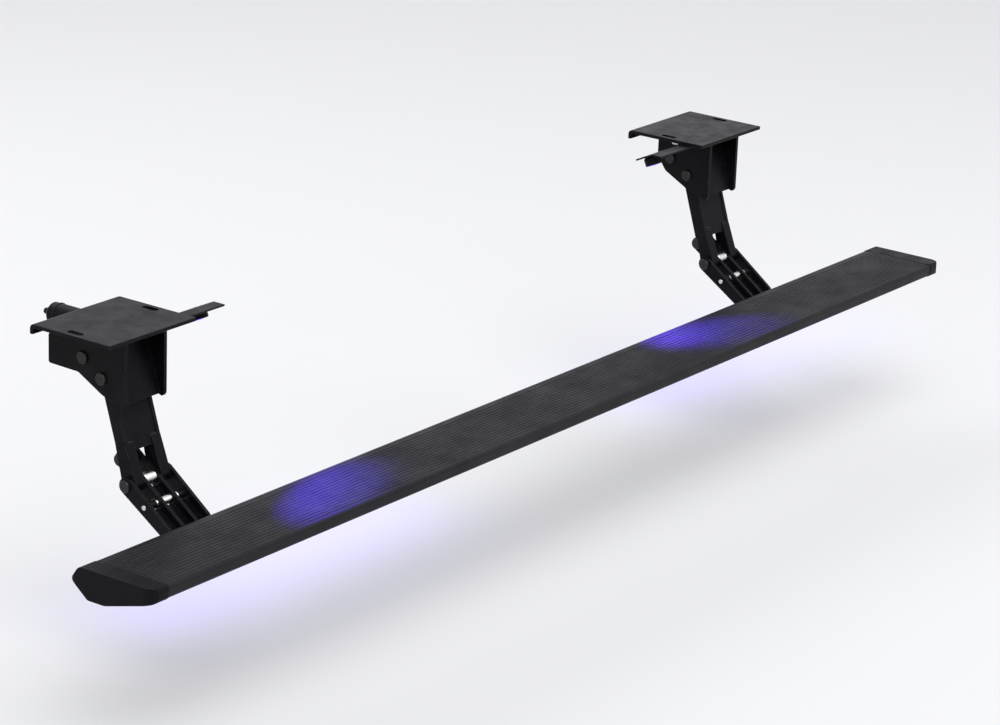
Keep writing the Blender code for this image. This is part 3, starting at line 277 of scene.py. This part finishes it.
def deck_aluminium():
    """Dark anodised extrusion: drawing lines, grip ribs with worn crowns, grit and dust."""
    shader = Shader("dark_anodised_board", (0.0105, 0.0105, 0.0130), 0.50, 0.20)
    shader.specular(0.12)
    rib_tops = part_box("board_extrusion")[1][2]
    crown = shader.spread(shader.axis("Z"), rib_tops - 0.0007, rib_tops - 0.0002)
    worn = shader.times(crown, shader.spread(shader.noise(38.0, 6.0, 0.7, (0.35, 1, 1)), 0.42, 0.70))
    lines = shader.noise(420.0, 2.0, 0.6, (0.004, 1, 1))
    shader.tint(shader.times(shader.spread(lines, 0.40, 0.75), 0.30), (0.025, 0.025, 0.028))
    dust = shader.times(shader.spread(shader.noise(5.0, 6.0, 0.6, (0.5, 1, 1)), 0.45, 0.85), 0.26)
    shader.tint(dust, (0.038, 0.037, 0.037))
    shader.tint(shader.times(worn, 0.42), (0.055, 0.055, 0.058))
    wear = shader.times(shader.edge_mask(0.0010), shader.spread(shader.noise(120.0, 4.0, 0.7), 0.46, 0.62))
    shader.tint(shader.times(wear, 0.40), (0.13, 0.13, 0.135))
    shader.gloss(shader.noise(16.0, 5.0), 0.42, 0.60)
    shader.relief(lines, 0.00006, 0.5)
    shader.relief(shader.noise(1500.0, 1.0), 0.00005, 0.5)
    return shader.material


def turned_steel():
    """Bright plated steel with lathe lines round its axis and a faint yellowish cast in places."""
    shader = Shader("bright_steel", (0.60, 0.60, 0.59), 0.24, 1.0)
    shader.tint(shader.times(shader.spread(shader.noise(90.0, 4.0), 0.45, 0.75), 0.5), (0.47, 0.45, 0.41))
    shader.gloss(shader.noise(150.0, 3.0, 0.6), 0.17, 0.36)
    shader.relief(shader.noise(1400.0, 2.0, 0.6, (1, 0.05, 0.05)), 0.00004, 0.6)
    return shader.material


def oxide_steel():
    """Turned steel with black oxide: near black, faintly brown, brighter where it has rubbed."""
    shader = Shader("black_oxide_steel", (0.018, 0.0175, 0.0175), 0.34, 0.6)
    rubbed = shader.times(shader.edge_mask(0.0008), shader.spread(shader.noise(260.0, 3.0), 0.42, 0.60))
    shader.tint(shader.times(shader.spread(shader.noise(70.0, 4.0), 0.45, 0.75), 0.5), (0.030, 0.027, 0.025))
    shader.tint(shader.times(rubbed, 0.5), (0.16, 0.16, 0.16))
    shader.gloss(shader.noise(130.0, 3.0, 0.6), 0.26, 0.44)
    shader.relief(shader.noise(1400.0, 2.0, 0.6, (1, 0.05, 0.05)), 0.00004, 0.6)
    return shader.material


def cast_alloy():
    """Bare die-cast alloy: fine pitted skin, flow marks and a dull sheen."""
    shader = Shader("cast_alloy", (0.36, 0.36, 0.37), 0.48, 0.9)
    flow_marks = shader.times(shader.spread(shader.noise(26.0, 5.0, 0.7), 0.42, 0.75), 0.6)
    shader.tint(flow_marks, (0.23, 0.23, 0.24))
    shader.gloss(shader.noise(60.0, 4.0), 0.38, 0.62)
    shader.relief(shader.noise(900.0, 3.0, 0.7), 0.00014, 0.6)
    return shader.material


def bearing_bronze():
    """Oiled bearing bronze, darker where the oil has stained it."""
    shader = Shader("bearing_bronze", (0.43, 0.27, 0.12), 0.34, 1.0)
    shader.tint(shader.times(shader.spread(shader.noise(200.0, 3.0), 0.45, 0.7), 0.6), (0.25, 0.15, 0.07))
    shader.relief(shader.noise(1200.0, 2.0), 0.00004, 0.5)
    return shader.material


def black_rubber():
    """Matt black rubber with a chalky bloom in places."""
    shader = Shader("black_rubber", (0.010, 0.010, 0.010), 0.78)
    shader.specular(0.15)
    bloom = shader.times(shader.spread(shader.noise(45.0, 5.0, 0.7), 0.45, 0.75), 0.5)
    shader.tint(bloom, (0.030, 0.029, 0.028))
    shader.gloss(shader.noise(80.0), 0.68, 0.88)
    shader.relief(shader.noise(700.0, 2.0), 0.00010, 0.6)
    return shader.material


def lamp_lens():
    """A lit violet-blue lens with a fine moulded texture."""
    shader = Shader("violet_lamp_lens", (0.20, 0.14, 0.80), 0.16)
    shader.surface.inputs["Emission Color"].default_value = (*GLOW_COLOUR, 1)
    shader.surface.inputs["Emission Strength"].default_value = 2.2
    shader.tint(shader.times(shader.cells(420.0), 0.6), (0.55, 0.50, 1.0))
    shader.relief(shader.cells(420.0), 0.00030, 0.6)
    return shader.material


BY_SLOT = {
    "deck": deck_aluminium(),
    "cap_plastic": moulded_plastic(),
    "black_casting": powder_coat("black_powder_coat_casting", (0.0030, 0.0030, 0.0042), 0.37, 620.0),
    "black_steel": powder_coat("black_powder_coat_steel", (0.0036, 0.0036, 0.0048), 0.33, 380.0),
    "bright_steel": turned_steel(),
    "dark_steel": oxide_steel(),
    "bush_bronze": bearing_bronze(),
    "rubber": black_rubber(),
    "cast_alloy": cast_alloy(),
    "lamp_lens": lamp_lens(),
}


# Edges of the carried-over solids

def geometry_group(name):
    """An empty geometry node group with its input and output nodes."""
    group = bpy.data.node_groups.new(name, "GeometryNodeTree")
    group.interface.new_socket("Geometry", in_out="INPUT", socket_type="NodeSocketGeometry")
    group.interface.new_socket("Geometry", in_out="OUTPUT", socket_type="NodeSocketGeometry")
    return group, group.nodes.new("NodeGroupInput"), group.nodes.new("NodeGroupOutput")


def edges_over(group, degrees):
    """The selection of edges whose faces meet at more than an angle."""
    angle = group.nodes.new("GeometryNodeInputMeshEdgeAngle")
    over = group.nodes.new("FunctionNodeCompare")
    over.operation = "GREATER_THAN"
    over.inputs[1].default_value = math.radians(degrees)
    group.links.new(angle.outputs["Unsigned Angle"], over.inputs[0])
    return over.outputs[0]


def smoothing_group():
    """Geometry nodes that drop flat normals and shade smooth, but keep edges over the sharp angle."""
    group, start, end = geometry_group("smooth_round_faces")
    remove = group.nodes.new("GeometryNodeRemoveAttribute")
    remove.inputs["Name"].default_value = "custom_normal"
    faces = group.nodes.new("GeometryNodeSetShadeSmooth")
    edges = group.nodes.new("GeometryNodeSetShadeSmooth")
    edges.domain = "EDGE"
    edges.inputs["Shade Smooth"].default_value = False
    group.links.new(start.outputs[0], remove.inputs["Geometry"])
    group.links.new(remove.outputs["Geometry"], faces.inputs["Geometry"])
    group.links.new(faces.outputs["Geometry"], edges.inputs["Geometry"])
    group.links.new(edges_over(group, SHARP_ANGLE), edges.inputs["Selection"])
    group.links.new(edges.outputs["Geometry"], end.inputs[0])
    return group


def crease_group():
    """Geometry nodes that crease every edge over the crease angle, so that only facets get round."""
    group, start, end = geometry_group("crease_corners")
    crease = group.nodes.new("GeometryNodeStoreNamedAttribute")
    crease.data_type = "FLOAT"
    crease.domain = "EDGE"
    crease.inputs["Name"].default_value = "crease_edge"
    crease.inputs["Value"].default_value = 1.0
    group.links.new(start.outputs[0], crease.inputs["Geometry"])
    group.links.new(edges_over(group, CREASE_ANGLE), crease.inputs["Selection"])
    group.links.new(crease.outputs["Geometry"], end.inputs[0])
    return group


SMOOTHING = smoothing_group()
CREASING = crease_group()

# Turned pieces that subdivision rounds. Not the bushes: it would shrink their bores into their pins
ROUND_PIECES = ("pin", "sleeve", "spindle", "bolt_1", "bolt_2", "screw_1", "screw_2", "screw_3", "bumper",
                "motor_can", "cable_gland", "lamp_housing", "lamp_lens")
# Width of the broken edges, by material slot
BREAKS = {"deck": 0.0003, "black_casting": 0.0008, "black_steel": 0.0006, "cast_alloy": 0.0006,
          "bright_steel": 0.0002}


def soften(node, width):
    """Weld a carried-over solid, break its edges, shade round faces smooth and keep flat ones flat."""
    weld = node.modifiers.new("weld", "WELD")
    weld.merge_threshold = WELD_DISTANCE
    flat = node.modifiers.new("whole_flat_faces", "DECIMATE")
    flat.decimate_type = "DISSOLVE"
    flat.angle_limit = math.radians(FLAT_ANGLE)
    if node.name.endswith(ROUND_PIECES):
        crease = node.modifiers.new("crease_corners", "NODES")
        crease.node_group = CREASING
        rounder = node.modifiers.new("rounder", "SUBSURF")
        rounder.levels = ROUNDER_LEVELS
        rounder.render_levels = ROUNDER_LEVELS
    if width:
        edge = node.modifiers.new("edge_break", "BEVEL")
        edge.width = width
        edge.segments = 2
        edge.limit_method = "ANGLE"
        edge.angle_limit = math.radians(BREAK_ANGLE)
    smooth = node.modifiers.new("smooth", "NODES")
    smooth.node_group = SMOOTHING
    shading = node.modifiers.new("flat_shading", "WEIGHTED_NORMAL")
    shading.weight = 100
    shading.keep_sharp = True


for subpart in frame["record"]["subparts"]:
    part = NODES[subpart["node"]]
    part.data.materials.clear()
    part.data.materials.append(BY_SLOT[subpart["material_slot"]])
    soften(part, BREAKS.get(subpart["material_slot"], 0.0))


# Small fittings, each carried by one body

def middle(node):
    """The middle of a node's box."""
    low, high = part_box(node)
    return (Vector(low) + Vector(high)) / 2


def fitting(name, mesh, body, slot):
    """A new piece on a body, finished as one of the record's material slots."""
    piece = bpy.data.objects.new(name, mesh)
    bpy.context.scene.collection.objects.link(piece)
    mesh.materials.append(BY_SLOT[slot])
    mesh.shade_smooth()
    mesh.set_sharp_from_angle(angle=math.radians(SHARP_ANGLE))
    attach(piece, body)
    return piece


def put_in_order(shape):
    """Sort a turned shape's parts by place, because a spin leaves them in another order each run."""
    for index, vert in enumerate(sorted(shape.verts, key=lambda vert: vert.co[:])):
        vert.index = index
    shape.verts.sort()
    for kind in (shape.edges, shape.faces):
        ranked = sorted(kind, key=lambda item: sorted(vert.index for vert in item.verts))
        for index, item in enumerate(ranked):
            item.index = index
        kind.sort()


def turned_mesh(name, profile, place, axis, steps=32, sweep=360, start=0):
    """A profile of (along, radius) points turned about an axis. Part of a turn gets flat ends."""
    along = Vector(axis).normalized()
    side = along.orthogonal().normalized()
    side.rotate(Matrix.Rotation(math.radians(start), 3, along))
    shape = bmesh.new()
    points = [shape.verts.new(Vector(place) + along * run + side * radius) for run, radius in profile]
    whole = sweep == 360
    if whole:
        closed = profile[0][1] > 0
        pairs = list(zip(points, points[1:] + points[:1])) if closed else list(zip(points, points[1:]))
        turned = points + [shape.edges.new(pair) for pair in pairs]
    else:
        face = shape.faces.new(points)
        turned = [face] + list(face.edges) + points
    bmesh.ops.spin(shape, geom=turned, cent=place, axis=along, angle=math.radians(sweep),
                   steps=steps, use_merge=whole)
    bmesh.ops.remove_doubles(shape, verts=shape.verts, dist=MERGE_DISTANCE)
    bmesh.ops.recalc_face_normals(shape, faces=shape.faces)
    put_in_order(shape)
    mesh = bpy.data.meshes.new(name)
    shape.to_mesh(mesh)
    shape.free()
    return mesh


def ring_profile(low, high, inner, outer, edge=0.0):
    """A rectangular ring's section, its outer corners broken by edge."""
    return [(low, inner), (high, inner), (high, outer - edge), (high - edge, outer),
            (low + edge, outer), (low, outer - edge)]


def retaining_clip(pin, body):
    """A spring clip in the groove of a pin's tail, close against the wall."""
    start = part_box(pin)[1][0] - PIN_TAIL + CLIP_GAP
    profile = ring_profile(start, start + CLIP_THICKNESS, CLIP_INNER, CLIP_OUTER, CLIP_EDGE)
    place = Vector((0, middle(pin).y, middle(pin).z))
    mesh = turned_mesh(pin + "_clip", profile, place, (1, 0, 0), CLIP_STEPS, CLIP_SWEEP, CLIP_START)
    fitting(pin + "_clip", mesh, body, "bright_steel")


def lock_collar(bolt):
    """The round collar of a clamp bolt's lock nut, under its hexagon."""
    nut_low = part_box(bolt)[0][2] + BOLT_END
    place = Vector((middle(bolt).x, middle(bolt).y, nut_low))
    mesh = turned_mesh(bolt + "_collar", COLLAR, place, (0, 0, 1))
    fitting(bolt + "_collar", mesh, "board", "bright_steel")


def gland_rings():
    """The moulded bending rings of the cable gland's neck."""
    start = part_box("cable_gland")[0][1]
    for index in range(GLAND_RINGS):
        run = GLAND_FIRST_RING + index * GLAND_RING_STEP
        radius = GLAND_RING_RADIUS - index * GLAND_RING_TAPER
        profile = [(along, radius + below) for along, below in GLAND_RING]
        place = Vector((middle("cable_gland").x, start + run, middle("cable_gland").z))
        name = f"gland_ring_{index + 1}"
        fitting(name, turned_mesh(name, profile, place, (0, 1, 0), steps=24), "root", "rubber")


def motor_details():
    """The crimped seams of the motor can and the two through bolts in its end."""
    low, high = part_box("motor_can")
    centre = middle("motor_can")
    radius = (high[0] - low[0]) / 2
    inner = radius - SEAM_DEPTH
    outer = radius + SEAM_PROUD
    section = ring_profile(-SEAM_HALF_WIDTH, SEAM_HALF_WIDTH, inner, outer, SEAM_EDGE)
    for index, run in enumerate((low[1] + SEAM_FROM_CASE_END, high[1] - SEAM_FROM_FREE_END)):
        name = f"motor_seam_{index + 1}"
        mesh = turned_mesh(name, section, Vector((centre.x, run, centre.z)), (0, 1, 0), steps=48)
        fitting(name, mesh, "root", "black_steel")
    for index, side in enumerate((-1, 1)):
        name = f"motor_through_bolt_{index + 1}"
        place = Vector((centre.x + side * THROUGH_BOLT_OUT, high[1], centre.z))
        mesh = turned_mesh(name, THROUGH_BOLT, place, (0, 1, 0), steps=6)
        fitting(name, mesh, "root", "bright_steel")


def lamp_details(prefix, side):
    """A bezel round the lens, two screws through the sheet into the lamp and a rivet up into the bracket."""
    lens = middle(prefix + "lamp_lens")
    body = middle(prefix + "lamp_housing")
    axis = (lens - body).normalized()
    mesh = turned_mesh(prefix + "lamp_bezel", BEZEL, lens, axis, steps=40)
    fitting(prefix + "lamp_bezel", mesh, "root", "bright_steel")
    top = body - axis * LAMP_TO_SHEET_TOP
    for index, shift in enumerate((-1, 1)):
        name = f"{prefix}lamp_screw_{index + 1}"
        place = top + Vector((shift * LAMP_SCREW_OUT, 0, 0))
        fitting(name, turned_mesh(name, LAMP_SCREW, place, -axis, steps=20), "root", "bright_steel")
    low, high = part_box(prefix + "lamp_bracket")
    near_end = low[0] if side > 0 else high[0]
    place = Vector((near_end + side * RIVET_IN, low[1] + RIVET_ASIDE, high[2] - SHEET_THICKNESS))
    name = prefix + "lamp_bracket_rivet"
    fitting(name, turned_mesh(name, RIVET, place, (0, 0, -1), steps=24), "root", "black_steel")


for linkage in ("front_", "rear_"):
    retaining_clip(linkage + "outer_arm_pin", "root")
    retaining_clip(linkage + "drive_arm_pin", "root")
    retaining_clip(linkage + "fork_pin", "board")
    retaining_clip(linkage + "drive_eye_pin", "board")
    lock_collar(linkage + "clamp_bolt_1")
    lock_collar(linkage + "clamp_bolt_2")
gland_rings()
motor_details()
lamp_details("front_", 1)
lamp_details("rear_", -1)


# Stage, lights and camera

def make_floor():
    """A plain pale floor, clear from below so that the part's underside can be looked at."""
    shader = Shader("pale_floor", (0.86, 0.86, 0.87), 0.7)
    shader.tint(shader.times(shader.noise(3.0), 0.25), (0.82, 0.82, 0.83))
    mesh = bpy.data.meshes.new("floor")
    reach = FLOOR_REACH
    corners = [(-reach, -reach, 0), (reach, -reach, 0), (reach, reach, 0), (-reach, reach, 0)]
    mesh.from_pydata(corners, [], [(0, 1, 2, 3)])
    floor = bpy.data.objects.new("floor", mesh)
    floor.location = (0, 0, FLOOR_Z)
    bpy.context.scene.collection.objects.link(floor)
    underside = shader.node("ShaderNodeMixShader")
    clear = shader.node("ShaderNodeBsdfTransparent")
    shader.link(shader.node("ShaderNodeNewGeometry").outputs["Backfacing"], underside.inputs["Fac"])
    shader.link(shader.surface.outputs["BSDF"], underside.inputs[1])
    shader.link(clear.outputs["BSDF"], underside.inputs[2])
    shader.link(underside.outputs["Shader"], shader.tree.nodes["Material Output"].inputs["Surface"])
    mesh.materials.append(shader.material)
    return floor


def make_world():
    """Soft studio surroundings: dim as light, near white where the camera, a gloss or glass sees them."""
    world = bpy.data.worlds.new("studio")
    bpy.context.scene.world = world
    world.use_nodes = True
    tree = world.node_tree
    background = tree.nodes["Background"]
    background.inputs["Color"].default_value = (0.96, 0.97, 1.0, 1)
    path = tree.nodes.new("ShaderNodeLightPath")
    seen = path.outputs["Is Camera Ray"]
    for ray in ("Is Glossy Ray", "Is Transmission Ray"):
        larger = tree.nodes.new("ShaderNodeMath")
        larger.operation = "MAXIMUM"
        tree.links.new(seen, larger.inputs[0])
        tree.links.new(path.outputs[ray], larger.inputs[1])
        seen = larger.outputs[0]
    strength = tree.nodes.new("ShaderNodeMapRange")
    strength.inputs["To Min"].default_value = WORLD_LIGHT
    strength.inputs["To Max"].default_value = WORLD_SEEN
    tree.links.new(seen, strength.inputs["Value"])
    tree.links.new(strength.outputs["Result"], background.inputs["Strength"])


def aim(item, place, target):
    item.location = place
    item.rotation_mode = "QUATERNION"
    item.rotation_quaternion = (Vector(target) - Vector(place)).to_track_quat("-Z", "Y")


def area_light(name, place, target, size, power):
    data = bpy.data.lights.new(name, "AREA")
    data.shape = "RECTANGLE"
    data.size, data.size_y = size
    data.energy = power
    light = bpy.data.objects.new(name, data)
    bpy.context.scene.collection.objects.link(light)
    aim(light, place, target)


def soft_key():
    """A wide, distant key light, so that the floor is as pale from every side."""
    data = bpy.data.lights.new("key", "SUN")
    data.energy = KEY_POWER
    data.angle = math.radians(KEY_ANGLE)
    light = bpy.data.objects.new("key", data)
    bpy.context.scene.collection.objects.link(light)
    aim(light, KEY_PLACE, KEY_TARGET)


def everything_but(floor):
    """A collection that keeps the floor out of a light, which then shines on the object alone."""
    lit = bpy.data.collections.new("all_but_the_floor")
    lit.objects.link(floor)
    lit.collection_objects[0].light_linking.link_state = "EXCLUDE"
    return lit


def lamp_glow(prefix, lit):
    """The light that a step lamp throws on the deck. The floor's violet comes from the pools alone."""
    place = middle(prefix + "lamp_lens")
    target = Vector((*GLOW_SPOTS[prefix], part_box("board_extrusion")[1][2]))
    place += (target - place).normalized() * GLOW_START
    data = bpy.data.lights.new(prefix + "lamp_glow", "SPOT")
    data.color = GLOW_COLOUR
    data.energy = GLOW_POWER[prefix]
    data.spot_size = math.radians(GLOW_ANGLE)
    data.spot_blend = 1.0
    data.shadow_soft_size = GLOW_RADIUS
    light = bpy.data.objects.new(prefix + "lamp_glow", data)
    bpy.context.scene.collection.objects.link(light)
    aim(light, place, target)
    light.scale = (1, GLOW_NARROWING, 1)
    light.light_linking.receiver_collection = lit


def glow_pool(index, place):
    """Soft violet light on the floor where the lamps' stray light falls past the board."""
    data = bpy.data.lights.new(f"glow_pool_{index}", "AREA")
    data.shape = "RECTANGLE"
    data.size, data.size_y = POOL_SIZE
    data.color = GLOW_COLOUR
    data.energy = POOL_POWER
    light = bpy.data.objects.new(data.name, data)
    bpy.context.scene.collection.objects.link(light)
    light.location = (*place, FLOOR_Z + POOL_HEIGHT)
    light.visible_camera = False
    light.visible_glossy = False


def make_camera():
    yaw, down, roll = (math.radians(angle) for angle in (CAMERA_YAW, CAMERA_DOWN, CAMERA_ROLL))
    forward = Vector((math.cos(yaw) * math.cos(down), math.sin(yaw) * math.cos(down), -math.sin(down)))
    right = Vector((math.sin(yaw), -math.cos(yaw), 0))
    up = right.cross(forward)
    rolled_right = right * math.cos(roll) + up * math.sin(roll)
    rolled_up = up * math.cos(roll) - right * math.sin(roll)
    data = bpy.data.cameras.new("camera")
    data.sensor_width = 36
    data.lens = CAMERA_LENS
    camera = bpy.data.objects.new("camera", data)
    bpy.context.scene.collection.objects.link(camera)
    turn = Matrix((rolled_right, rolled_up, -forward)).transposed()
    camera.matrix_world = Matrix.Translation(CAMERA_PLACE) @ turn.to_4x4()
    bpy.context.scene.camera = camera


lamp_lit = everything_but(make_floor())
make_world()
soft_key()
for lamp, setting in AREA_LIGHTS.items():
    area_light(lamp, *setting)
for linkage in ("front_", "rear_"):
    lamp_glow(linkage, lamp_lit)
for pool, spot in enumerate(POOLS):
    glow_pool(pool + 1, spot)
make_camera()
bpy.context.scene.view_settings.view_transform = "Standard"

bpy.context.view_layer.update()
